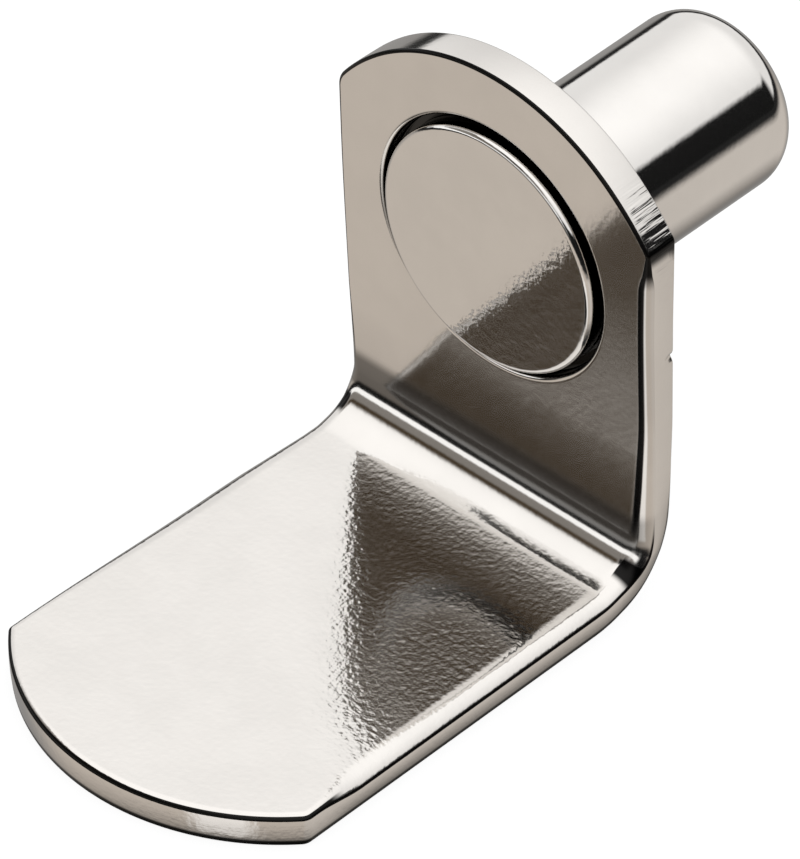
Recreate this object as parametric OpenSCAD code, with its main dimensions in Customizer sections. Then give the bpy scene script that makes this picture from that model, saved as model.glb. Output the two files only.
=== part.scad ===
// Shelf support: a bracket folded from steel strip, with a headed pin pressed through it.
//
// Frame: the origin is on the pin's axis at the back face of the upright plate, where the pin
// enters its hole. +Y runs along the pin to its free end, +Z is up, and X is the width.

/* [Strip] */
// Width of the steel strip
strip_w = 12.7; // [11.5:0.1:20]
// Thickness of the sheet
sheet_t = 1.25; // [1:0.05:2]
// Radius of the rolled edge that punching leaves on the shelf side
roll_r = 0.3; // [0.1:0.05:0.4]
// How far the middle of the leg's crowned tip stands beyond its corners
tip_crown = 2.9; // [1:0.1:4.5]
// How far the middle of the plate's crowned top stands above its corners
top_crown = 3.5; // [1:0.1:4.5]

/* [Fold] */
// Radius on the inside of the fold
bend_r = 2; // [0.5:0.1:3]
// Height of the plate's top above the pin's axis
plate_rise = 6.7; // [5.6:0.1:15]
// Drop from the pin's axis to the shelf face
shelf_drop = 9.6; // [8.5:0.1:20]
// Reach of the leg from the plate's back face to its tip
leg_reach = 19; // [12:0.5:40]

/* [Pin] */
// Diameter of the shank
pin_d = 6.2; // [4.8:0.05:6.6]
// Step from the shank out to the land that grips the plate
land_step = 0.2; // [0.2:0.05:0.3]
// Length of the shank behind the plate
pin_len = 10; // [5:0.1:20]
// Rounding of the shank's free end
pin_end_r = 1.3; // [0.5:0.1:2]
// Radius of the slight dome on the free end
pin_dome_r = 9; // [4:0.5:30]

/* [Head] */
// Diameter of the pin's head
head_d = 8.6; // [7.4:0.1:9.6]
// Rounding round the rim of the head
rim_r = 0.2; // [0.1:0.05:0.5]
// How far the head stands proud of the plate
head_rise = 0.25; // [0.05:0.05:0.6]
// Depth of the seat pressed into the plate for the head
seat_depth = 0.55; // [0.3:0.05:0.8]
// Gap round the head in its seat
seat_gap = 0.3; // [0.1:0.05:0.5]
// Rounding of the seat's lip
lip_r = 0.12; // [0.05:0.01:0.2]
// Clearance round the pin's land in the plate's hole
hole_gap = 0.02; // [0.01:0.01:0.1]

/* [Hidden] */
$fn = 96;

// Overlap that lets a cut run past the face it opens
past = 1;

half_w = strip_w / 2;
bend_outer = bend_r + sheet_t;
shank_r = pin_d / 2;
land_r = shank_r + land_step;
head_r = head_d / 2;
seat_r = head_r + seat_gap;
seat_y = seat_depth - sheet_t;

// Radius of the one arc that crowns an end of the strip and passes through its two corners
function crown_radius(rise) = (half_w * half_w + rise * rise) / (2 * rise);

// Section across the strip: the back face lies on y = 0 and the rolled edges are at y = sheet_t
module strip_section() {
    translate([-half_w, 0]) square([strip_w, sheet_t - roll_r]);
    translate([roll_r - half_w, 0]) square([strip_w - 2 * roll_r, sheet_t]);
    for (side = [-1, 1])
        translate([side * (half_w - roll_r), sheet_t - roll_r]) circle(roll_r);
}

// Half section of a disc of the sheet, with its rim rolled as the strip's edges are
module disc_section(r) {
    square([r, sheet_t - roll_r]);
    square([r - roll_r, sheet_t]);
    intersection() {
        translate([r - roll_r, sheet_t - roll_r]) circle(roll_r);
        square([r, sheet_t]);
    }
}

// One limb of the bracket, flat: from the fold at y = 0 to its crowned tip at y = -reach
module limb(reach, rise) {
    crown_r = crown_radius(rise);
    intersection() {
        rotate([90, 0, 0]) linear_extrude(reach + past) strip_section();
        union() {
            translate([0, crown_r - reach, 0]) rotate_extrude() disc_section(crown_r);
            translate([-strip_w, crown_r - reach, -past])
                cube([2 * strip_w, max(past, reach - crown_r), sheet_t + 2 * past]);
        }
    }
}

// The quarter turn between the limbs
module fold() {
    translate([0, -bend_outer, bend_r - shelf_drop])
        rotate([0, 90, 0])
            rotate_extrude(angle = 90)
                translate([bend_outer, 0]) rotate(90) strip_section();
}

// What is punched out of the plate: the pin's hole, and the head's seat with its rounded lip
module seat_cut() {
    rotate([90, 0, 0]) {
        translate([0, 0, -past]) cylinder(r = land_r + hole_gap, h = sheet_t + 2 * past);
        translate([0, 0, -seat_y]) cylinder(r = seat_r, h = seat_depth + past);
        rotate_extrude() translate([seat_r, sheet_t - lip_r]) difference() {
            square(lip_r);
            translate([lip_r, 0]) circle(lip_r);
        }
    }
}

module bracket() {
    color([0.80, 0.78, 0.75])
    difference() {
        union() {
            translate([0, -bend_outer, -shelf_drop - sheet_t]) limb(leg_reach - bend_outer, tip_crown);
            fold();
            translate([0, 0, bend_r - shelf_drop])
                mirror([0, 1, 1]) limb(plate_rise + shelf_drop - bend_r, top_crown);
        }
        seat_cut();
    }
}

// Half section of the shank: the land in the plate, then straight, then a rounded edge that
// runs smoothly into the dome
module shank_section() {
    edge_x = shank_r - pin_end_r;
    dome_y = pin_len - pin_dome_r;
    dome_half = asin(edge_x / (pin_dome_r - pin_end_r));
    edge_y = dome_y + (pin_dome_r - pin_end_r) * cos(dome_half);
    reach = pin_end_r + past;
    translate([0, seat_y]) square([land_r, -seat_y]);
    translate([0, seat_y]) square([shank_r, edge_y - seat_y]);
    intersection() {
        translate([edge_x, edge_y]) circle(pin_end_r);
        translate([0, edge_y]) square([shank_r, pin_end_r]);
    }
    intersection() {
        translate([0, dome_y]) circle(pin_dome_r);
        polygon([[0, edge_y], [edge_x, edge_y],
                 [edge_x + reach * sin(dome_half), edge_y + reach * cos(dome_half)],
                 [0, pin_len + past]]);
    }
}

// Half section of the head, with its rim rounded on the shelf side
module head_section() {
    face_y = -sheet_t - head_rise;
    translate([0, face_y + rim_r]) square([head_r, seat_y - face_y - rim_r]);
    translate([0, face_y]) square([head_r - rim_r, seat_y - face_y]);
    translate([head_r - rim_r, face_y + rim_r]) circle(rim_r);
}

module pin() {
    color([0.84, 0.83, 0.81])
    rotate([-90, 0, 0]) rotate_extrude() {
        shank_section();
        head_section();
    }
}

bracket();
pin();
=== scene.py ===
# %% [markdown]
# # A shelf support pin
#
# This little bracket plugs into a drilled hole in the side of a cabinet and carries one corner of
# a shelf. It is a strip of steel, punched out, folded once and nickel plated, with a turned and
# plated pin pressed through its upright plate. The lesson builds both pieces as meshes that are
# fine enough to mirror a studio, gives them a plated finish made of nodes, and lights them with
# nothing but what they reflect.
#
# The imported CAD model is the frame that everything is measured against. It gives the two nodes,
# `bracket` and `pin`, in metres: +Y runs along the pin, +Z is up and X is the width.

# %% Load the frame
import math

import bmesh
import bpy
import numpy as np
from mathutils import Matrix, Vector
from mathutils.geometry import tessellate_polygon


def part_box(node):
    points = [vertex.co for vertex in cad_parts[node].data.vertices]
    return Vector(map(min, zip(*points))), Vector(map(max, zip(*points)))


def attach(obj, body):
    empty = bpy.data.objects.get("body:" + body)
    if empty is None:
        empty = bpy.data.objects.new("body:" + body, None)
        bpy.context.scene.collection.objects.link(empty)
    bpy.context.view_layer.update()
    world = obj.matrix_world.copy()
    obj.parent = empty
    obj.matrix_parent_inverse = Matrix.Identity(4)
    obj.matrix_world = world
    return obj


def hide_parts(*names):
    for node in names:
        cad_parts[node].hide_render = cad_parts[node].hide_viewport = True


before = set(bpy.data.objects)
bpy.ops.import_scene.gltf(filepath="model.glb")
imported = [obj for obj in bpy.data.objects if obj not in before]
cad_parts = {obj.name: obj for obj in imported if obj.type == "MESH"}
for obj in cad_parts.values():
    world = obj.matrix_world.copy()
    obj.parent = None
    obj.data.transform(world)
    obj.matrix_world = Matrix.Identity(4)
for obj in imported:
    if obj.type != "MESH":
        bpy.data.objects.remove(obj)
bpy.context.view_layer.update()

# %% [markdown]
# ## Sizes
#
# Outer sizes are read from the CAD nodes, so the looks can't drift away from the model. The few
# that a box doesn't show, such as the thickness of the sheet, are stated here in millimetres.

# %% Sizes of the bracket in millimetres
MM = 0.001
bracket_low, bracket_high = (np.array(c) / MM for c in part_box("bracket"))

HALF_W = bracket_high[0]
LEG_REACH = -bracket_low[1]
PLATE_TOP = bracket_high[2]
UNDERSIDE = bracket_low[2]
SHEET = 1.25
SHELF_FACE = UNDERSIDE + SHEET
BEND_IN = 2.0
BEND_OUT = BEND_IN + SHEET
TIP_CROWN, TOP_CROWN = 2.9, 3.5
print(f"strip {2 * HALF_W:.1f} wide, leg {LEG_REACH:.1f} long, plate top {PLATE_TOP:.1f} up")

# %% Sizes of the pin in millimetres
pin_low, pin_high = (np.array(c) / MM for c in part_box("pin"))

PIN_R = 3.1
PIN_TIP = pin_high[1]
PIN_EDGE_R, PIN_DOME_R = 1.3, 9.0
LAND_R = 3.3
HEAD_R = pin_high[0]
HEAD_FACE = pin_low[1]
RIM_R = 0.2
# the plate's hole and the head's seat, with the clearances round them
HOLE_GAP, SEAT_GAP = 0.02, 0.25
HOLE_R, SEAT_R = LAND_R + HOLE_GAP, HEAD_R + SEAT_GAP
SEAT_DEPTH, LIP_R = 0.55, 0.19
SEAT_FLOOR = SEAT_DEPTH - SHEET
print(f"pin {2 * PIN_R:.1f} across and {PIN_TIP:.1f} long, head {2 * HEAD_R:.1f} across")

# %% [markdown]
# ## Camera
#
# A long lens from well away keeps parallel edges nearly parallel, which suits small hardware. The
# camera is placed by angles: it looks along `back` towards the part, from its right and above. It
# aims a little to the left of the origin and below it, where the middle of the whole part is.

# %% Camera
AZIMUTH, ELEVATION, ROLL = 43.321, 40.529, -0.162
LENS, DISTANCE = 420.126, 306.821
AIM_LEFT, AIM_BELOW = 3.624, 6.133
CLIP_NEAR, CLIP_FAR = 0.01, 20


def camera_axes(azimuth, elevation, roll):
    """Right, up and back of a camera that looks at the part from these angles, in degrees."""
    a, e, r = (math.radians(v) for v in (azimuth, elevation, roll))
    back = Vector((math.sin(a) * math.cos(e), -math.cos(a) * math.cos(e), math.sin(e)))
    right = Vector((math.cos(a), math.sin(a), 0))
    up = back.cross(right)
    return (math.cos(r) * right + math.sin(r) * up,
            math.cos(r) * up - math.sin(r) * right, back)


right, up, back = camera_axes(AZIMUTH, ELEVATION, ROLL)
camera_data = bpy.data.cameras.new("camera")
camera_data.lens = LENS
camera_data.clip_start, camera_data.clip_end = CLIP_NEAR, CLIP_FAR
camera = bpy.data.objects.new("camera", camera_data)
bpy.context.scene.collection.objects.link(camera)
place = (DISTANCE * back - AIM_LEFT * right - AIM_BELOW * up) * MM
camera.matrix_world = Matrix.Translation(place) @ Matrix((right, up, back)).transposed().to_4x4()
bpy.context.scene.camera = camera
print(f"camera {place.length / MM:.0f} mm away, lens {camera_data.lens:.0f} mm")

# %% [markdown]
# ## Node helpers
#
# A few small helpers keep the node code readable. One makes a node with its values and links in a
# single call, and the others are the sums that come up again and again. The smooth step is the
# brush that every soft edge is painted with.


# %% Node helpers
def node(tree, kind, values=None, **settings):
    """A new node. `settings` are its properties, and `values` maps sockets to numbers or links."""
    made = tree.nodes.new(kind)
    for name, value in settings.items():
        setattr(made, name, value)
    for socket, value in (values or {}).items():
        if isinstance(value, bpy.types.NodeSocket):
            tree.links.new(value, made.inputs[socket])
        else:
            made.inputs[socket].default_value = value
    return made


def calc(tree, operation, *values):
    """The result of one sum, such as ADD or MAXIMUM, of sockets or numbers."""
    return node(tree, "ShaderNodeMath", dict(enumerate(values)), operation=operation).outputs[0]


def times(tree, *factors):
    """The product of several sockets or numbers."""
    result = factors[0]
    for factor in factors[1:]:
        result = calc(tree, "MULTIPLY", result, factor)
    return result


def step(tree, value, low, high, out_low=0.0, out_high=1.0):
    """Smoothly from out_low to out_high as value goes from low to high."""
    made = node(tree, "ShaderNodeMapRange", {0: value, 1: low, 2: high, 3: out_low, 4: out_high},
                interpolation_type="SMOOTHSTEP")
    return made.outputs[0]


def grey(level, warmth=0.0):
    """A colour of this brightness, warmer as warmth grows."""
    return (level * (1 + warmth), level, level * (1 - warmth), 1)


print("a warm grey:", grey(0.5, 0.1))

# %% [markdown]
# ## Studio
#
# Bright plating has no colour of its own to speak of: it looks like the room. So the room is
# painted by direction on the world: a white tent above, grey paper below that is dark straight
# down and again near the horizon, and a few cards, whose black ones draw the dark lines that give
# a shiny edge its shape. Azimuth is 0 along the pin and grows towards +X, and elevation is 90
# overhead. Only mirrored rays see the room; the camera sees a plain white backdrop.

# %% Directions in the studio
world = bpy.data.worlds.new("studio")
bpy.context.scene.world = world
world.use_nodes = True
wt = world.node_tree
wt.nodes.clear()
xyz = node(wt, "ShaderNodeSeparateXYZ", {0: node(wt, "ShaderNodeTexCoord").outputs["Generated"]})
to_degrees = 180 / math.pi
elevation = times(wt, calc(wt, "ARCSINE", xyz.outputs[2]), to_degrees)
azimuth = times(wt, calc(wt, "ARCTAN2", xyz.outputs[0], xyz.outputs[1]), to_degrees)


def card(az, el, soft_az, soft_el=(3, 3)):
    """A soft rectangle of the room: 1 between these azimuths and these elevations, 0 outside. Its
    two sides are this soft, and so are its bottom and its top."""
    return times(wt,
                 step(wt, azimuth, az[0] - soft_az, az[0] + soft_az),
                 step(wt, azimuth, az[1] - soft_az, az[1] + soft_az, 1, 0),
                 step(wt, elevation, el[0] - soft_el[0], el[0] + soft_el[0]),
                 step(wt, elevation, el[1] - soft_el[1], el[1] + soft_el[1], 1, 0))


def paint(under, shape, colour):
    """What is painted so far, with this colour over it where the shape is 1."""
    return node(wt, "ShaderNodeMix", {0: shape, 6: under, 7: colour}, data_type="RGBA").outputs[2]


print("directions:", len(wt.nodes), "nodes")

# %% Tent and paper
BLACK, DEEP_SHADE = grey(0.01), grey(0.02)
# the tent is white overhead and a little greyer low down
sky = paint(grey(0.98, 0.01), step(wt, elevation, 20, 62), grey(1.34, 0.01))
# the paper is warm, but darker and cooler at the back left, and a little brighter on the right
paper = paint(grey(0.59, 0.11), card((-100, 0), (-91, 10), 25), grey(0.33, 0.03))
paper = paint(paper, card((10, 110), (-91, 10), 15), grey(0.64, 0.08))
# it is nearly black straight down, and one bright sheet lies on it in front
paper = paint(paper, step(wt, elevation, -66, -43, 1, 0), grey(0.04))
paper = paint(paper, card((150, 176), (-52, -24), 5, (4, 4)), grey(1.05, 0.03))
# it falls into shade towards the horizon, and does so sooner on the right
shaded = paint(paper, step(wt, elevation, -13, -5), DEEP_SHADE)
shaded_right = paint(paper, step(wt, elevation, -17, -6), DEEP_SHADE)
paper = paint(shaded, card((0, 150), (-91, 10), 15), shaded_right)
room = paint(paper, step(wt, elevation, -1, 3), sky)
print("tent and paper:", len(wt.nodes), "nodes")

# %% Cards
# a black card behind to the right
room = paint(room, card((36, 158), (-2, 24), 8, (1, 3)), BLACK)
# in front, on both sides of where the azimuth wraps round: a black skirting, a low strip light
# and a tall grey card above it
for az, soft in (((-181, -95), 12), ((158, 181), 8)):
    room = paint(room, card(az, (-3, 5.5), soft, (2, 1)), BLACK)
    room = paint(room, card(az, (5.5, 17), soft, (1, 1.5)), grey(1.3))
    room = paint(room, card(az, (17, 45.3), soft, (1.5, 2.5)), grey(0.25, 0.08))
# and on that card the dark shape of a camera, and a black panel across where the azimuth wraps
room = paint(room, card((-145, -120), (34, 42), 5, (3, 2)), grey(0.04, 0.5))
for az, soft in (((-181, -152), 4), ((172, 181), 8)):
    room = paint(room, card(az, (32, 47), soft), BLACK)

tent = node(wt, "ShaderNodeBackground", {"Color": room, "Strength": 1.0})
backdrop = node(wt, "ShaderNodeBackground", {"Color": grey(1.0), "Strength": 1.0})
mirrored = node(wt, "ShaderNodeLightPath").outputs["Is Glossy Ray"]
seen = node(wt, "ShaderNodeMixShader", {0: mirrored, 1: backdrop.outputs[0], 2: tent.outputs[0]})
node(wt, "ShaderNodeOutputWorld", {"Surface": seen.outputs[0]})
bpy.context.scene.view_settings.view_transform = "Standard"
print("whole studio:", len(wt.nodes), "nodes")

# %% [markdown]
# The floor is a wide sheet of white paper just under the leg. It glows, so that it stays nearly as
# white as the backdrop and only a faint shadow shows. It is hidden from reflections, where the
# painted paper of the world stands in for it.

# %% Floor
FLOOR_HALF = 3.0
FLOOR_DROP = 0.02 * MM
floor_z = UNDERSIDE * MM - FLOOR_DROP
corners = [(x * FLOOR_HALF, y * FLOOR_HALF, floor_z) for x, y in
           ((-1, -1), (1, -1), (1, 1), (-1, 1))]
floor_mesh = bpy.data.meshes.new("floor")
floor_mesh.from_pydata(corners, [], [(0, 1, 2, 3)])
floor = bpy.data.objects.new("floor", floor_mesh)
bpy.context.scene.collection.objects.link(floor)
white_paper = bpy.data.materials.new("white_paper")
white_paper.use_nodes = True
shader = white_paper.node_tree.nodes["Principled BSDF"]
for socket, value in (("Base Color", grey(0.18)), ("Emission Color", grey(1.0)),
                      ("Emission Strength", 0.88), ("Roughness", 0.9),
                      ("Specular IOR Level", 0.0)):
    shader.inputs[socket].default_value = value
floor_mesh.materials.append(white_paper)
floor.visible_glossy = False
print("floor at", round(floor_z / MM, 2), "mm")

# %% [markdown]
# ## The blank
#
# The bracket starts as a flat blank punched out of strip. Building it flat and folding it by
# formula is how the real one is made, and it keeps the edge the same all the way round. Places
# on the blank are u, across it, and v, along it from the leg's tip to the plate's top.

# %% Places along the blank
FOLD_LENGTH = math.pi / 2 * (BEND_IN + SHEET / 2)
LEG_END = LEG_REACH - BEND_OUT
PLATE_START = LEG_END + FOLD_LENGTH
BLANK = PLATE_START + PLATE_TOP - SHELF_FACE - BEND_IN
PIN_V = PLATE_START - SHELF_FACE - BEND_IN
# where the crease is, where a painted dark spot lies on the roll below it, and where the back edge
# has a nick
CREASE_V, FOLD_DARK_V = LEG_END + 0.66 * FOLD_LENGTH, LEG_END + 0.45 * FOLD_LENGTH
NICK_V = PIN_V - 1.37
# each end's crown, and the rounding of its left and its right corner
TIP_END = (TIP_CROWN, 0.30, 0.50)
TOP_END = (TOP_CROWN, 1.00, 0.30)
print(f"blank {BLANK:.2f} mm long, folded from {LEG_END:.2f} to {PLATE_START:.2f}")

# %% [markdown]
# The fold isn't a plain quarter round. Inside, it rises gently from the leg, bends tightly, runs
# flatter for a few degrees and is tightest up to the plate, where the punch's nose struck. The
# plate's foot leans back a little, and the nose has coined it thinner. The curve is a list of
# radii at angles of turn, added up into places, because each bend in it mirrors another strip of
# the room: those are the lines that the eye reads as a pressed crease.

# %% Curve of the fold
# lean of the plate's foot where the fold ends, how far up it is straight, and the metal coined off
LEAN, LEAN_UP, COINED = math.radians(3.4), 2.65, 0.15
# how far the outside stands beyond a round arc, halfway through the fold
OUT_BULGE = 0.14
# degrees of turn, and the radius inside the fold there
FOLD_RADII = {0: 28, 1.5: 14, 3: 1.3, 12: 1.3, 14: 4.5, 16.5: 4.5, 19: 1.9, 36: 1.9, 39: 1.28,
              90: 1.38}
fold_turn = np.linspace(0, math.pi / 2 - LEAN, 721)
inner_radius = np.interp(np.degrees(fold_turn), list(FOLD_RADII), list(FOLD_RADII.values()))


def running(values):
    """Running total of values along the fold's turn."""
    return np.concatenate([[0], np.cumsum((values[1:] + values[:-1]) / 2)]) * fold_turn[1]


inner_arc = running(inner_radius)
inner_y = running(inner_radius * np.cos(fold_turn))
inner_y += COINED - SHEET - LEAN * LEAN_UP / 2 - inner_y[-1]
inner_z = SHELF_FACE + running(inner_radius * np.sin(fold_turn))
# the inside starts to rise before the outside does, and has turned this far by then
EASE_START = LEG_END + BEND_OUT + inner_y[0]
EASE_TURN = np.interp(LEG_END - EASE_START, inner_arc, fold_turn)
print(f"inside of the fold: {-SHEET - inner_y[0]:.2f} mm deep, {inner_z[-1] - inner_z[0]:.2f} high")

# %% [markdown]
# The outline runs round the blank once: up the right side, over the crowned top, down the left
# side and round the crowned tip. Each of its points knows how to step inwards by any distance,
# which lays down parallel loops for the edge's section.

# %% Rows across the blank
# the straight sides keep clear of the rounded corners
SIDE_START, SIDE_END = 3.2, BLANK - 4.3
# a row this far outside the fold keeps its shading off the flats
FLAT_GAP = 0.04
RIBBON_START, RIBBON_END = EASE_START - FLAT_GAP, PLATE_START + LEAN_UP + FLAT_GAP
# first row, last row and how many of each stretch
stretches = ((SIDE_START, 5.6, 13), (6, EASE_START - 0.3, 10), (RIBBON_START, RIBBON_START, 1),
             (EASE_START, LEG_END, 12), (LEG_END, PLATE_START, 91),
             (PLATE_START + 0.1, PLATE_START + LEAN_UP, 26), (RIBBON_END, RIBBON_END, 1),
             (PLATE_START + LEAN_UP + 0.2, SIDE_END, 24), (NICK_V - 0.3, NICK_V + 0.3, 9))
stations = np.unique(np.concatenate([np.linspace(*stretch) for stretch in stretches]).round(5))
print(len(stations), "rows across the blank")

# %% Outline of the blank
CROWN_STEPS, CORNER_STEPS = 96, 10
END_POINTS = 2 * (CORNER_STEPS + 1) + CROWN_STEPS - 1


def end_loop(inset, end):
    """One crowned end at this inset, from the right side round to the left: (u, past centre)."""
    rise, left, right = end
    crown = (HALF_W**2 + rise**2) / (2 * rise)
    mitre = math.sqrt((crown - inset) ** 2 - (HALF_W - inset) ** 2)
    sides = []
    for hand, radius in ((1, right), (-1, left)):
        across = HALF_W - radius
        along = math.sqrt((crown - radius) ** 2 - across**2)
        crown_angle = math.atan2(across, along)
        turn = np.linspace(math.pi / 2, crown_angle, CORNER_STEPS + 1)
        u, v = np.full_like(turn, HALF_W - inset), np.full_like(turn, mitre)
        if inset < radius:
            u = across + (radius - inset) * np.sin(turn)
            v = along + (radius - inset) * np.cos(turn)
        sides.append((u * hand, v, crown_angle))
    (u_r, v_r, a_r), (u_l, v_l, a_l) = sides
    angles = np.linspace(a_r, -a_l, CROWN_STEPS + 1)[1:-1]
    u_c, v_c = (crown - inset) * np.sin(angles), (crown - inset) * np.cos(angles)
    past = np.abs(u_c) > HALF_W - inset
    u_c[past], v_c[past] = np.sign(u_c[past]) * (HALF_W - inset), mitre
    u = np.concatenate([u_r, u_c, u_l[::-1]])
    v = np.concatenate([v_r, v_c, v_l[::-1]])
    return np.stack([u, v - crown], 1)


def blank_loop(inset):
    """The whole outline at this inset: right side up, top end, left side down, tip end."""
    right_side = np.stack([np.full_like(stations, HALF_W - inset), stations], 1)
    top = end_loop(inset, TOP_END) + (0, BLANK)
    tip = end_loop(inset, TIP_END)[::-1] * (1, -1)
    return np.concatenate([right_side, top, right_side[::-1] * (-1, 1), tip])


ACROSS, ALONG = blank_loop(0).T
print(len(ALONG), "points round the blank")

# %% [markdown]
# ## Section of the edge
#
# A punch drags the sheet's edge down before it cuts. On that side the edge rolls over in a wide
# soft curve that ends in a crisp arris on the cut wall, and the other side stays nearly square.
# Below the burnished top of the wall the metal has torn, and there it leans in a little. Each
# point of a section also carries three numbers that the materials read: whether it lies on the
# cut wall, how torn it is there, which also sets a painted shade that darkens the wall towards the
# back, and how strong a painted dark line is there, in place of the dark that a shiny edge
# mirrors. One more point a hair inside each flat keeps the flat's shading flat.

# %% Section of the edge
HAIR = 0.03
BACK_ROWS, WALL_ROWS, ARRIS_ROWS, ROLL_ROWS = 8, 8, 7, 14


def ease(value, low, high):
    """0 below low, 1 above high, and a smooth step between."""
    t = np.clip((value - low) / (high - low), 0, 1)
    return t * t * (3 - 2 * t)


def rolled_section(roll, roll_angle, arris, back, lean, torn, painted_dark_back, black, soft=0.06):
    """Rows (inset, height, wall, torn, painted dark line) of the edge, from the back round to the
    front.
    `black` is where on the roll, from 0 at the flat to 1 at the arris, the painted dark line starts
    and ends. If it ends at 1 the arris is painted dark too. The wall's marks fade in a quarter of
    it."""
    end = math.radians(roll_angle)
    rows = [(lean + back + HAIR, 0.0, 0.0, 0.0, 0.0)]
    for t in np.linspace(0, math.pi / 2, BACK_ROWS):
        rows.append((lean + back * (1 - math.sin(t)), back * (1 - math.cos(t)), math.sin(t) ** 2,
                     torn * math.sin(t), painted_dark_back * math.sin(t) ** 2))
    start = roll * math.sin(end) + arris * (1 - math.sin(end))
    wall_top = SHEET - roll * (1 - math.cos(end)) - arris * math.cos(end)
    for t in np.linspace(0, 1, WALL_ROWS + 1)[1:]:
        rows.append((lean * (1 - t) ** 2, back + (wall_top - back) * t, min(1, 4 * (1 - t)),
                     torn * (1 - t), painted_dark_back * max(0, 1 - 4 * t)))
    for t in np.linspace(math.pi / 2, end, ARRIS_ROWS + 1)[1:]:
        rows.append((arris * (1 - math.sin(t)), wall_top + arris * math.cos(t), 0.0, 0.0,
                     float(black[1] >= 1)))
    for t in np.linspace(end, 0, ROLL_ROWS + 1)[1:]:
        painted_dark_line = ease(t / end, black[0] - soft, black[0] + soft)
        if black[1] < 1:
            painted_dark_line *= 1 - ease(t / end, black[1] - soft, black[1] + soft)
        rows.append((start - roll * math.sin(t), SHEET - roll * (1 - math.cos(t)), 0.0, 0.0,
                     painted_dark_line))
    return np.array(rows + [(start + HAIR, SHEET, 0.0, 0.0, 0.0)])


print("rows in a section:", 2 + BACK_ROWS + WALL_ROWS + ARRIS_ROWS + ROLL_ROWS)

# %% [markdown]
# The edge isn't the same all round. It rolls over most along the leg. Pressing the pin in
# flattens the plate again, so the plate's left side and its crowned top keep only a narrow roll,
# and the lower part of its right side keeps a wider one. The leg's tip is somewhere between. Each
# stretch of the rim has its own section, which fades into the next one's.

# %% Four sections and where they run
# torn also sets how much painted shade darkens each wall towards the back; the back rounding and
# the part of the roll given by black get painted dark lines, in place of the dark that a shiny edge
# mirrors
LEG_EDGE = rolled_section(roll=0.9, roll_angle=52, arris=0.11, back=0.16, lean=0.05, torn=1.0,
                          painted_dark_back=1, black=(0.94, 1))
TIP_EDGE = rolled_section(roll=0.3, roll_angle=55, arris=0.09, back=0.16, lean=0.05, torn=0.4,
                          painted_dark_back=1, black=(0.62, 1))
PLATE_EDGE = rolled_section(roll=0.60, roll_angle=72, arris=0.07, back=0.08, lean=0.02, torn=0.1,
                            painted_dark_back=0.3, black=(0.12, 0.42))
CROWN_EDGE = rolled_section(roll=0.13, roll_angle=60, arris=0.08, back=0.08, lean=0.02, torn=0.1,
                            painted_dark_back=0.3, black=(0.1, 1))
OVER_TOP = (BLANK - 5, BLANK - TOP_CROWN - 0.2, 1)
# each section that follows the tip's, up the blank. First on the right side and then on the left:
# where it starts to fade in, where it has done so, and how much of it there is then
RIM = ((LEG_EDGE, (3.3, 5.3, 1), (3.3, 12, 1)),
       (PLATE_EDGE, (CREASE_V - 0.5, PLATE_START + 2, 1), (CREASE_V - 0.5, PLATE_START + 2, 0.1)),
       (CROWN_EDGE, (PIN_V - 7, PIN_V - 3, 0.35), (CREASE_V, PLATE_START + 3, 1)),
       (CROWN_EDGE, OVER_TOP, OVER_TOP))
print(f"edge rolls over {LEG_EDGE[-1, 0]:.2f} mm on the leg, {PLATE_EDGE[-1, 0]:.2f} on the plate")

# %% Rim
ROLL_START = 1 + BACK_ROWS + WALL_ROWS
# the last rows of the roll, which the painted dark spot below the crease leaves bright
BRIGHT_ROWS = 4
# how far the painted dark line spreads over the wall from the plate's right corner, and how strong
# and how long the painted dark spot is on the roll below the crease
CORNER_DARK_SPREAD = 0.25
FOLD_DARK, FOLD_DARK_REACH = 1.2, 0.6
# the place in a point's numbers of how strong its painted dark line is
PAINTED_DARK_LINE = 5


def section_loop(edge, k):
    """Row k of one section carried right round the blank: (u, v, height, wall, torn, burnt)."""
    return np.hstack([blank_loop(edge[k, 0]), np.tile(edge[k, 1:], (len(ALONG), 1))])


def rim_loop(k):
    """Row k of the rim, from the section of the tip to that of the plate's top."""
    loop = section_loop(TIP_EDGE, k)
    for edge, on_right, on_left in RIM:
        start, done, most = np.where(ACROSS[:, None] > 0, on_right, on_left).T
        share = (most * ease(ALONG, start, done))[:, None]
        loop = loop * (1 - share) + section_loop(edge, k) * share
    if k < ROLL_START:
        corner = np.hypot(ACROSS - HALF_W, ALONG - BLANK + TOP_CROWN)
        loop[:, PAINTED_DARK_LINE] = np.maximum(loop[:, PAINTED_DARK_LINE], np.exp(-(corner / CORNER_DARK_SPREAD) ** 2))
    elif k < len(LEG_EDGE) - BRIGHT_ROWS:
        fold_dark = FOLD_DARK * np.exp(-((ALONG - FOLD_DARK_V) / FOLD_DARK_REACH) ** 2)
        loop[:, PAINTED_DARK_LINE] = np.clip(np.maximum(loop[:, PAINTED_DARK_LINE], fold_dark), 0, 1)
    return loop


rim_loops = [rim_loop(k) for k in range(len(LEG_EDGE))]
print("rim:", len(rim_loops), "loops of", len(rim_loops[0]), "points")

# %% [markdown]
# ## Blank to bracket
#
# The rim's loops, joined by bands, make the whole edge. The flats inside the first and the last
# loop are filled: one polygon for the leg, a ribbon of narrow strips where the fold will be, and
# a plate with a round opening for the pin. Long thin triangles can't bend, which is why the fold
# gets its own rows.

# %% Sheet of metal
# the fold's ribbon has this many steps over this width beside each edge, and one wide strip between
RIBBON_STEPS, RIBBON_SIDE = 8, 2
STATION_SLACK = 0.001


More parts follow.
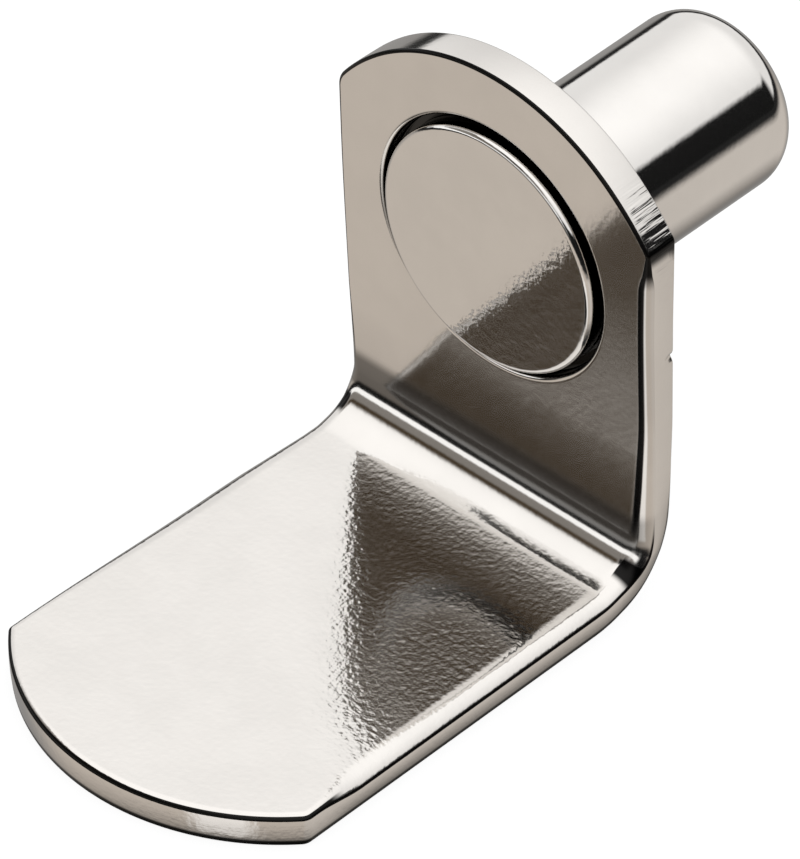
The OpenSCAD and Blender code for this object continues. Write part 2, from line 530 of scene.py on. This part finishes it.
class Sheet:
    """Collects points (u, v, height, wall, torn, burnt) of the flat blank, and their faces."""

    def __init__(self):
        self.points, self.faces = [], []

    def add(self, rows):
        """Adds one row of points, with marks of 0 where it has none. Returns their numbers."""
        first = len(self.points)
        self.points.extend((*row, 0.0, 0.0, 0.0)[:6] for row in rows)
        return list(range(first, first + len(rows)))

    def band(self, low, high, closed=True):
        """Quads between two rows of the same length."""
        count = len(low)
        for i in range(count if closed else count - 1):
            j = (i + 1) % count
            self.faces.append((low[i], low[j], high[j], high[i]))

    def polygon(self, outer, holes=()):
        """Fills a flat outline, round its holes if it has any."""
        if not holes:
            self.faces.append(tuple(outer))
            return
        loops = [outer, *holes]
        numbers = [n for loop in loops for n in loop]
        flat = [[Vector((*self.points[n][:2], 0)) for n in loop] for loop in loops]
        self.faces.extend(tuple(numbers[i] for i in tri) for tri in tessellate_polygon(flat))

    def flat_side(self, rim, seat_rim):
        """Fills one side inside its rim: leg, ribbon of the fold, and plate round its opening."""
        count = len(stations)
        low, high = (int(np.searchsorted(stations, v - STATION_SLACK))
                     for v in (RIBBON_START, RIBBON_END))
        after_top = count + END_POINTS
        right, left = rim[:count], rim[after_top:after_top + count][::-1]
        rows = []
        for k in range(low, high + 1):
            inner, height = self.points[right[k]][0], self.points[right[k]][2]
            steps = np.linspace(inner, inner - RIBBON_SIDE, RIBBON_STEPS + 1)[1:]
            across = np.concatenate([steps, [0], -steps[::-1]])
            middle = self.add([(u, stations[k], height) for u in across])
            rows.append([right[k], *middle, left[k]])
        for row, above in zip(rows, rows[1:]):
            self.band(row, above, closed=False)
        self.polygon(right[:low] + rows[0] + left[:low][::-1] + rim[after_top + count:])
        self.polygon(rows[-1][::-1] + right[high + 1:] + rim[count:after_top]
                     + left[high + 1:][::-1], [seat_rim])


blank = Sheet()
rims = [blank.add(loop) for loop in rim_loops]
for low, high in zip(rims, rims[1:]):
    blank.band(low, high)
print(f"rim: {len(blank.points)} points, {len(blank.faces)} faces")

# %% [markdown]
# A shallow round seat is pressed into the plate for the pin's head. Its section goes from the
# hole's back edge up to the seat's floor, out to its wall and over the lip, and is spun round the
# pin's axis. Small edges are broken, as a press leaves them, so that each catches its own light.

# %% Seat and the blank's two sides
BROKEN, SEAT_CORNER, LIP_HAIR = 0.03, 0.05, 0.02
RING_POINTS = 192


def ring(radius, height):
    """A circle round the pin's axis at this height of the sheet."""
    turn = np.linspace(0, 2 * math.pi, RING_POINTS, endpoint=False)
    return np.stack([radius * np.cos(turn), PIN_V + radius * np.sin(turn),
                     np.full(RING_POINTS, height)], 1)


seat_floor = -SEAT_FLOOR
seat = [(HOLE_R + BROKEN, 0.0), (HOLE_R, BROKEN), (HOLE_R, seat_floor - BROKEN),
        (HOLE_R + BROKEN, seat_floor), (SEAT_R - SEAT_CORNER, seat_floor),
        (SEAT_R, seat_floor + SEAT_CORNER), (SEAT_R, SHEET - LIP_R - LIP_HAIR)]
seat += [(SEAT_R + LIP_R * (1 - math.cos(t)), SHEET - LIP_R * (1 - math.sin(t)))
         for t in np.linspace(0, math.pi / 2, 9)]
seat += [(SEAT_R + LIP_R + LIP_HAIR, SHEET)]
seat_rings = [blank.add(ring(radius, height)) for radius, height in seat]
for low, high in zip(seat_rings, seat_rings[1:]):
    blank.band(low, high)
blank.flat_side(rims[0], seat_rings[0])
blank.flat_side(rims[-1], seat_rings[-1])
print(f"blank: {len(blank.points)} points, {len(blank.faces)} faces")

# %% [markdown]
# ## Folding
#
# Metal on the inside of a bend is squeezed, so it swells sideways there, which shows as a small
# ear at each end of the crease. The plate's sides aren't quite straight either: the left one is
# drawn in at the foot and stands out again at the top, and the right one stands out a little all
# the way up. Then every point is folded round the bend: its place on the outside, a nearly round
# arc, and its place on the inside are worked out, and its height in the sheet says how far it
# lies from the one to the other.

# %% Swell and fold
# only this near to a side does the sheet grow sideways
SWELL_REACH = 1.6
# how far an ear stands out, how long it is, and how much less the back of the sheet swells
EAR, EAR_REACH, EAR_BACK = 0.12, 1.1, 0.7
# how far the plate's left side is drawn in at most, and the size of the nick in its back edge
DRAWN_IN = 0.27
NICK, NICK_REACH, NICK_HEIGHT = 0.14, 0.13, 0.5
# the coined metal thickens again over this much of the plate
COINED_UP = 9


def swell(points):
    """Sideways growth of the sheet: inside the fold, up the plate, and a nick behind."""
    u, v, h = points.T
    near_edge = np.clip((np.abs(u) - HALF_W + SWELL_REACH) / SWELL_REACH, 0, 1) ** 2
    ear = np.exp(-(((v - CREASE_V) / EAR_REACH) ** 2)) * ((1 + EAR_BACK) * h / SHEET - EAR_BACK)
    left_side = DRAWN_IN * np.interp(v, (LEG_END - 3, LEG_END + 2, PLATE_START, PIN_V + 5),
                                     (0, -1, -1, 0.5))
    right_side = np.interp(v, (LEG_END + 1, LEG_END + 3, PLATE_START + 2, PIN_V - 4, PIN_V),
                           (0, 0.12, 0.12, 0.15, 0.09))
    nick = np.exp(-(((v - NICK_V) / NICK_REACH) ** 2)) * np.clip(1 - h / NICK_HEIGHT, 0, 1)
    one_side = np.where(u > 0, right_side - NICK * nick, left_side)
    return np.stack([u + np.sign(u) * near_edge * (EAR * ear + one_side), v, h], 1)


def fold(points):
    """(u, v, height) of the blank to (x, y, z) of the bracket, in millimetres."""
    u, v, h = points.T
    way = np.clip((v - LEG_END) / FOLD_LENGTH, 0, 1)
    turn = way * math.pi / 2
    share = h / SHEET
    bulge = OUT_BULGE / math.sqrt(2) * np.sin(2 * turn) ** 2
    outer_y = BEND_OUT * (np.sin(turn) - 1) + bulge + np.minimum(v - LEG_END, 0)
    outer_z = SHELF_FACE + BEND_IN - BEND_OUT * np.cos(turn) - bulge
    inner = np.where(v < LEG_END, np.interp(v - EASE_START, inner_arc, fold_turn),
                     EASE_TURN + (fold_turn[-1] - EASE_TURN) * way)
    y = outer_y + share * (np.interp(inner, fold_turn, inner_y) + np.minimum(v - EASE_START, 0)
                           - outer_y)
    z = outer_z + share * (np.interp(inner, fold_turn, inner_z) - outer_z)
    # up the plate, the foot's lean ends, the coined metal thickens, and the heights fall in step
    up = np.maximum(v - PLATE_START, 0)
    straighten = (1 - np.clip(1 - up / LEAN_UP, 0, 1) ** 2) * LEAN * LEAN_UP / 2
    straighten -= COINED * ease(up, 0, COINED_UP)
    settle = ease(up, 0, LEAN_UP) * (inner_z[-1] - SHELF_FACE - BEND_IN) * share
    return np.stack([u, y + straighten * share, z + up - settle], 1)


flat = np.array(blank.points)
folded = fold(swell(flat[:, :3]))
print("folded bracket in mm:", folded.min(0).round(2), "to", folded.max(0).round(2))

# %% [markdown]
# Both pieces become smooth-shaded objects in the same way. Their normals are weighed by area, so
# that a wide flat stays a flat mirror right up to the narrow faces of its edge.

# %% Mesh of a piece
WELD, SLIVER = 2e-7, 1e-7


def solid_piece(name, points, faces, marks):
    """A smooth-shaded object from points in millimetres, welded and with its faces outward.
    Each mark is a number for every point, which its material can read."""
    mesh = bpy.data.meshes.new(name)
    mesh.from_pydata([tuple(p) for p in np.asarray(points) * MM], [], faces)
    for mark, values in marks.items():
        values = np.array(values, dtype=np.float32)
        mesh.attributes.new(mark, "FLOAT", "POINT").data.foreach_set("value", values)
    bm = bmesh.new()
    bm.from_mesh(mesh)
    bmesh.ops.remove_doubles(bm, verts=bm.verts, dist=WELD)
    bmesh.ops.dissolve_degenerate(bm, edges=bm.edges, dist=SLIVER)
    bmesh.ops.recalc_face_normals(bm, faces=bm.faces)
    for face in bm.faces:
        face.smooth = True
    open_edges = sum(len(e.link_faces) != 2 for e in bm.edges)
    bm.to_mesh(mesh)
    bm.free()
    normals = np.zeros((len(mesh.vertices), 3))
    for face in mesh.polygons:
        normals[list(face.vertices)] += np.array(face.normal) * face.area
    mesh.normals_split_custom_set_from_vertices(
        normals / np.linalg.norm(normals, axis=1)[:, None])
    made = bpy.data.objects.new(name, mesh)
    bpy.context.scene.collection.objects.link(made)
    print(f"{name}: {len(mesh.vertices)} points, {open_edges} open edges")
    return made


# painted shade in the fold's inside corner: how dark, at these places along the blank
CORNER_SHADE_ALONG = {CREASE_V + 0.15: 0, CREASE_V + 0.45: 0.8, PLATE_START - 0.25: 0.8,
           PLATE_START + 0.45: 0.75, PLATE_START + 0.75: 0.1, PLATE_START + 2: 0}
painted_corner_shade = np.interp(flat[:, 1], list(CORNER_SHADE_ALONG), list(CORNER_SHADE_ALONG.values())) * (flat[:, 2] / SHEET) ** 4
# the torn mark also carries a painted shade that darkens the cut wall towards the back, as well as
# its roughness
bracket = solid_piece("plated_bracket", folded, blank.faces,
                      {"cut_wall": flat[:, 3], "torn": flat[:, 4], "painted_dark_line": flat[:, PAINTED_DARK_LINE],
                       "painted_corner_shade": painted_corner_shade})

# %% [markdown]
# ## Pin
#
# The pin is turned, so one section spun round the Y axis makes all of it: head, land, shank,
# rounded end and dome. The arcs of the end and of the dome meet where they point the same way,
# so no ridge shows between them.


# %% Section of the pin
def arc(centre, radius, start, end, steps):
    """Points (r, y) on an arc of the section. Angles are from the outward direction to +Y."""
    return [(centre[0] + radius * math.cos(t), centre[1] + radius * math.sin(t))
            for t in np.radians(np.linspace(start, end, steps))]


edge_x = PIN_R - PIN_EDGE_R
dome_y = PIN_TIP - PIN_DOME_R
dome_half = math.degrees(math.asin(edge_x / (PIN_DOME_R - PIN_EDGE_R)))
edge_y = dome_y + (PIN_DOME_R - PIN_EDGE_R) * math.cos(math.radians(dome_half))
# a ring this far in from the rim keeps the head's face flat
FACE_RING = 0.8
LAND_CORNER = 0.05
# the dome starts this much past the edge's end, in degrees, and stops short of its own tip
DOME_GAP, DOME_STOP = 0.6, 89.0
section = [(HEAD_R - RIM_R - FACE_RING, HEAD_FACE), (HEAD_R - RIM_R - BROKEN, HEAD_FACE)]
section += arc((HEAD_R - RIM_R, HEAD_FACE + RIM_R), RIM_R, -90, 0, 13)
section += [(HEAD_R, HEAD_FACE + RIM_R + BROKEN), (HEAD_R, SEAT_FLOOR - 2 * BROKEN),
            (HEAD_R - BROKEN, SEAT_FLOOR), (LAND_R + BROKEN, SEAT_FLOOR),
            (LAND_R, SEAT_FLOOR + BROKEN), (LAND_R, -LAND_CORNER), (LAND_R - LAND_CORNER, 0.0),
            (PIN_R + BROKEN, 0.0), (PIN_R, BROKEN)]
section += [(PIN_R, y) for y in np.linspace(0.1, edge_y - 0.04, 12)]
section += arc((edge_x, edge_y), PIN_EDGE_R, 0, 90 - dome_half, 22)
section += arc((0, dome_y), PIN_DOME_R, 90 - dome_half + DOME_GAP, DOME_STOP, 14)
print(len(section), "points in the pin's section")

# %% Spin the pin
SPIN = 256
spin_turn = np.linspace(0, 2 * math.pi, SPIN, endpoint=False)
pin_points = [(r * math.cos(t), y, r * math.sin(t)) for r, y in section for t in spin_turn]
pin_faces = [tuple(range(SPIN))]
for k in range(len(section) - 1):
    for i in range(SPIN):
        j = (i + 1) % SPIN
        pin_faces.append((k * SPIN + i, k * SPIN + j, (k + 1) * SPIN + j, (k + 1) * SPIN + i))
tip = len(pin_points)
pin_points.append((0, PIN_TIP, 0))
pin_faces += [(tip - SPIN + i, tip - SPIN + (i + 1) % SPIN, tip) for i in range(SPIN)]
pin = solid_piece("plated_pin", pin_points, pin_faces, {})

# %% [markdown]
# ## Plated finish
#
# Bright nickel over rolled steel mirrors the room, but not perfectly. The steel's grain shows
# through the thin plating as tiny dimples, which break up every mirrored edge into specks. The
# first group gives that surface and a faint mottling. A group can be placed in any material with
# its own values, so the bracket and the pin share it.


# %% Group: plating grain
def group(name, inputs, outputs):
    """A new node group with these number sockets, and the sockets that bring its inputs in."""
    tree = bpy.data.node_groups.new(name, "ShaderNodeTree")
    for socket, default in inputs.items():
        tree.interface.new_socket(socket, in_out="INPUT",
                                  socket_type="NodeSocketFloat").default_value = default
    for socket in outputs:
        tree.interface.new_socket(socket, in_out="OUTPUT", socket_type="NodeSocketFloat")
    return tree, node(tree, "NodeGroupInput").outputs


def part_place(tree):
    """Where on the part a point is, in metres: the whole vector, and its x, y and z."""
    vector = node(tree, "ShaderNodeTexCoord").outputs["Object"]
    return vector, *node(tree, "ShaderNodeSeparateXYZ", {0: vector}).outputs


grain, given = group("plating_grain", {"Grain Size": 0.2, "Grain Height": 1.0, "Mottle": 0.05},
                     ("Height", "Shade"))
where = part_place(grain)[0]
dimples = node(grain, "ShaderNodeTexNoise",
               {"Vector": where, "Scale": calc(grain, "DIVIDE", 1 / MM, given["Grain Size"]),
                "Detail": 1.5, "Roughness": 0.5}).outputs[0]
clouds = node(grain, "ShaderNodeTexNoise",
              {"Vector": where, "Scale": 420.0, "Detail": 3.0, "Roughness": 0.6}).outputs[0]
shade = calc(grain, "MULTIPLY_ADD", step(grain, clouds, 0.3, 0.7, -1, 1), given["Mottle"], 1.0)
node(grain, "NodeGroupOutput", {"Height": times(grain, dimples, given["Grain Height"]),
                                "Shade": shade})
print("group:", grain.name)

# %% [markdown]
# The second group is the torn metal of the cut wall. Fine lines run along it, strong on the leg
# and weak on the plate. On the plate's right shoulder the punch chattered, which left ridges
# straight across the wall. Stretched noise gives both: squeezing one axis of its coordinates
# draws the noise out along the others.


# %% Group: torn wall
def place_step(tree, value, low, high, *out):
    """A smooth step between two places on the part, which are given in millimetres."""
    return step(tree, value, low * MM, high * MM, *out)


def less(tree, value, share):
    """1 - value * share: a factor that darkens by this share where value is 1."""
    return calc(tree, "MULTIPLY_ADD", value, -share, 1.0)


torn, given = group("torn_wall", {"Wall": 0.0, "Lines": 0.3, "Chatter": 1.0}, ("Height",))
where, x, y, z = part_place(torn)
on_leg = place_step(torn, z, SHELF_FACE + 1, SHELF_FACE + 2, 1, 0)


def wall_noise(scale, along_y, along_z):
    """Noise about zero. A factor under 1 draws it out along that axis, and one over 1 makes it
    finer."""
    squeezed = node(torn, "ShaderNodeMapping", {"Vector": where, "Scale": (1, along_y, along_z)})
    noise = node(torn, "ShaderNodeTexNoise", {"Vector": squeezed.outputs[0], "Scale": scale,
                                              "Detail": 2.0}).outputs[0]
    return calc(torn, "SUBTRACT", noise, 0.5)


# specks of noise per metre, and how strong the plate's lines are beside the leg's
LINE_SCALE, RIDGE_SCALE = 1200, 6500
ON_PLATE = 0.3
lines = calc(torn, "ADD", times(torn, on_leg, wall_noise(LINE_SCALE, 0.15, 12)),
             times(torn, less(torn, on_leg, 1.0), ON_PLATE, wall_noise(LINE_SCALE, 12, 0.15)))
shoulder = times(torn, place_step(torn, x, HALF_W - 1.75, HALF_W - 0.75),
                 place_step(torn, z, 0, 2))
ridges = times(torn, wall_noise(RIDGE_SCALE, 0.06, 1), shoulder, given["Chatter"])
height = calc(torn, "ADD", times(torn, lines, given["Lines"]), ridges)
node(torn, "NodeGroupOutput", {"Height": times(torn, height, given["Wall"])})
print("group:", torn.name)

# %% [markdown]
# The third group paints shade into the plating's colour. It paints a dark line along a sharp
# arris, in place of the dark that a shiny edge mirrors, and paints shade into a narrow gap or an
# inside corner. And over torn metal it is rougher, and a painted shade makes it darker too.

# %% Group: painted shade and roughness
# how much each painted shade takes off the brightness, and how much each mark adds to the roughness
TORN_PAINTED_SHADE, DARK_LINE_PAINTED_SHADE, GAP_PAINTED_SHADE = 0.7, 0.98, 0.95
TORN_ROUGH, DARK_LINE_ROUGH, GAP_ROUGH = 0.12, 0.15, 0.06
shade_paint, given = group("painted_shade_and_rough", {"Torn And Painted Shade": 0.0, "Painted Dark Line": 0.0, "Gap": 0.0},
                    ("Shade", "Roughness"))
dark_line = step(shade_paint, given["Painted Dark Line"], 0.25, 0.75)
shade = times(shade_paint, less(shade_paint, dark_line, DARK_LINE_PAINTED_SHADE), less(shade_paint, given["Gap"], GAP_PAINTED_SHADE),
              less(shade_paint, given["Torn And Painted Shade"], TORN_PAINTED_SHADE))
rough = calc(shade_paint, "ADD", times(shade_paint, dark_line, DARK_LINE_ROUGH), times(shade_paint, given["Gap"], GAP_ROUGH))
rough = calc(shade_paint, "MULTIPLY_ADD", given["Torn And Painted Shade"], TORN_ROUGH, rough)
node(shade_paint, "NodeGroupOutput", {"Shade": shade, "Roughness": rough})
print("group:", shade_paint.name)

# %% [markdown]
# A plated material is a metal whose colour, roughness and bump come from these groups. Each piece
# says, by its own marks and by places on it, how strong the grain is and where shade is painted.

# %% Plated material
GRAIN_SIZE, MOTTLE = 0.20, 0.02
BUMP_DISTANCE = 1e-5


def placed(tree, one_group, values):
    """A group placed in a material, with those of these values that it has an input for."""
    inputs = [item.name for item in one_group.interface.items_tree if item.in_out == "INPUT"]
    return node(tree, "ShaderNodeGroup", {name: values[name] for name in inputs if name in values},
                node_tree=one_group).outputs


def plated(name, colour, roughness, surface):
    """A nickel plated material. `surface` gives, for its tree, what the groups take in."""
    made = bpy.data.materials.new(name)
    made.use_nodes = True
    tree = made.node_tree
    values = {"Grain Size": GRAIN_SIZE, "Mottle": MOTTLE, **surface(tree)}
    steel, painted_marks = placed(tree, grain, values), placed(tree, shade_paint, values)
    height = steel["Height"]
    if "Wall" in values:
        height = calc(tree, "ADD", height, placed(tree, torn, values)["Height"])
    bump = node(tree, "ShaderNodeBump", {"Height": height, "Strength": 1.0,
                                         "Distance": BUMP_DISTANCE})
    tinted = node(tree, "ShaderNodeMix", {0: 1.0, 6: (*colour, 1),
                                          7: times(tree, steel["Shade"], painted_marks["Shade"])},
                  data_type="RGBA", blend_type="MULTIPLY")
    shader = tree.nodes["Principled BSDF"]
    tree.links.new(tinted.outputs[2], shader.inputs["Base Color"])
    tree.links.new(calc(tree, "ADD", painted_marks["Roughness"], roughness), shader.inputs["Roughness"])
    tree.links.new(bump.outputs[0], shader.inputs["Normal"])
    shader.inputs["Metallic"].default_value = 1.0
    return made


print("groups in a plated material:", [tree.name for tree in (grain, torn, shade_paint)])

# %% [markdown]
# The leg keeps the steel's grain, and the fold and the plate, which the tools pressed, keep less
# of it. Shade is painted into the head's seat up to just below the lip, and on the left the
# painted shade comes a little higher and wider. It has no end towards the back, so it also shows
# on the plate's back face, as a ring as wide as the seat round the pin.

# %% Bracket's plating
LEG_GRAIN, PLATE_GRAIN, DARK_LINE_GRAIN_LOSS = 0.68, 0.15, 0.8
# where the grain fades, as places in y
GRAIN_FADE = (-3.0, -2.2)
# how much the painted shade's radius grows, and how much its top rises, for each millimetre to the
# left
WIDER_LEFT, HIGHER_LEFT = 0.024, 0.02
# how far the painted shade reaches past the seat's wall, and how far below the plate's face its top
# is
PAST_WALL, DARK_TOP = (0.01, 0.03), (0.13, LIP_R)
WALL_LINES, WALL_CHATTER = 0.25, 4.0


def mark(tree, name):
    """A number that the mesh carries."""
    return node(tree, "ShaderNodeAttribute", attribute_name=name).outputs["Fac"]


def from_axis(tree, x, z):
    """Distance from the pin's axis."""
    squares = calc(tree, "MULTIPLY_ADD", x, x, calc(tree, "MULTIPLY", z, z))
    return calc(tree, "SQRT", squares)


def bracket_surface(tree):
    """Grain on the leg, less of it where the tools pressed; walls; painted dark lines on arrises;
    painted shade in the head's seat and the fold's inside corner.
    """
    _, x, y, z = part_place(tree)
    painted_dark_line = mark(tree, "painted_dark_line")
    grain_height = times(tree, place_step(tree, y, *GRAIN_FADE, LEG_GRAIN, PLATE_GRAIN),
                         less(tree, painted_dark_line, DARK_LINE_GRAIN_LOSS))
    left = calc(tree, "MINIMUM", x, 0.0)
    radius = calc(tree, "MULTIPLY_ADD", left, WIDER_LEFT, from_axis(tree, x, z))
    depth = calc(tree, "MULTIPLY_ADD", left, -HIGHER_LEFT, y)
    painted_seat_shade = times(tree, place_step(tree, radius, *(SEAT_R + past for past in PAST_WALL), 1, 0),
                    place_step(tree, depth, *(top - SHEET for top in DARK_TOP)))
    seat_and_corner_shade = calc(tree, "MAXIMUM", painted_seat_shade, mark(tree, "painted_corner_shade"))
    return {"Grain Height": grain_height, "Wall": mark(tree, "cut_wall"), "Lines": WALL_LINES,
            "Chatter": WALL_CHATTER, "Torn And Painted Shade": mark(tree, "torn"), "Painted Dark Line": painted_dark_line, "Gap": seat_and_corner_shade}


bracket_plating = plated("bracket_plating", (0.72, 0.70, 0.675), 0.10, bracket_surface)
bracket.data.materials.append(bracket_plating)
print("material:", bracket_plating.name, len(bracket_plating.node_tree.nodes), "nodes")

# %% [markdown]
# The pin is turned and has hardly any grain, except on its flat head. Shade is painted on the
# head's wall below the rim, where it stands in the seat, and it comes nearer to the face at the
# bottom.

# %% Pin's plating
HEAD_GRAIN, SHANK_GRAIN = 0.4, 0.14
# where the painted shade starts, from the rim's edge, and ends, from the seat's floor
DARK_START, DARK_END = (-0.02, 0.04), (0.1, 0.2)
# and how much further back it starts for each millimetre up
DARK_SLANT = 0.03


def pin_surface(tree):
    """Grain on the head, hardly any on the turned shank, and painted shade in the gap under the
    rim.
    """
    _, _, y, z = part_place(tree)
    rim = HEAD_FACE + RIM_R
    slanted = calc(tree, "MULTIPLY_ADD", z, -DARK_SLANT, y)
    painted_gap_shade = times(tree, place_step(tree, slanted, *(rim + d for d in DARK_START)),
                   place_step(tree, y, *(SEAT_FLOOR + d for d in DARK_END), 1, 0))
    return {"Grain Height": place_step(tree, y, rim, rim + 0.3, HEAD_GRAIN, SHANK_GRAIN),
            "Gap": painted_gap_shade}


pin_plating = plated("pin_plating", (0.74, 0.725, 0.705), 0.07, pin_surface)
pin.data.materials.append(pin_plating)
print("material:", pin_plating.name, len(pin_plating.node_tree.nodes), "nodes")

# %% [markdown]
# ## Hand over
#
# Each piece stands in for its CAD node, which is hidden, and rides on the part's one body.

# %% Hand over to the frame
for piece, cad_node in ((bracket, "bracket"), (pin, "pin")):
    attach(piece, "root")
    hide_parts(cad_node)
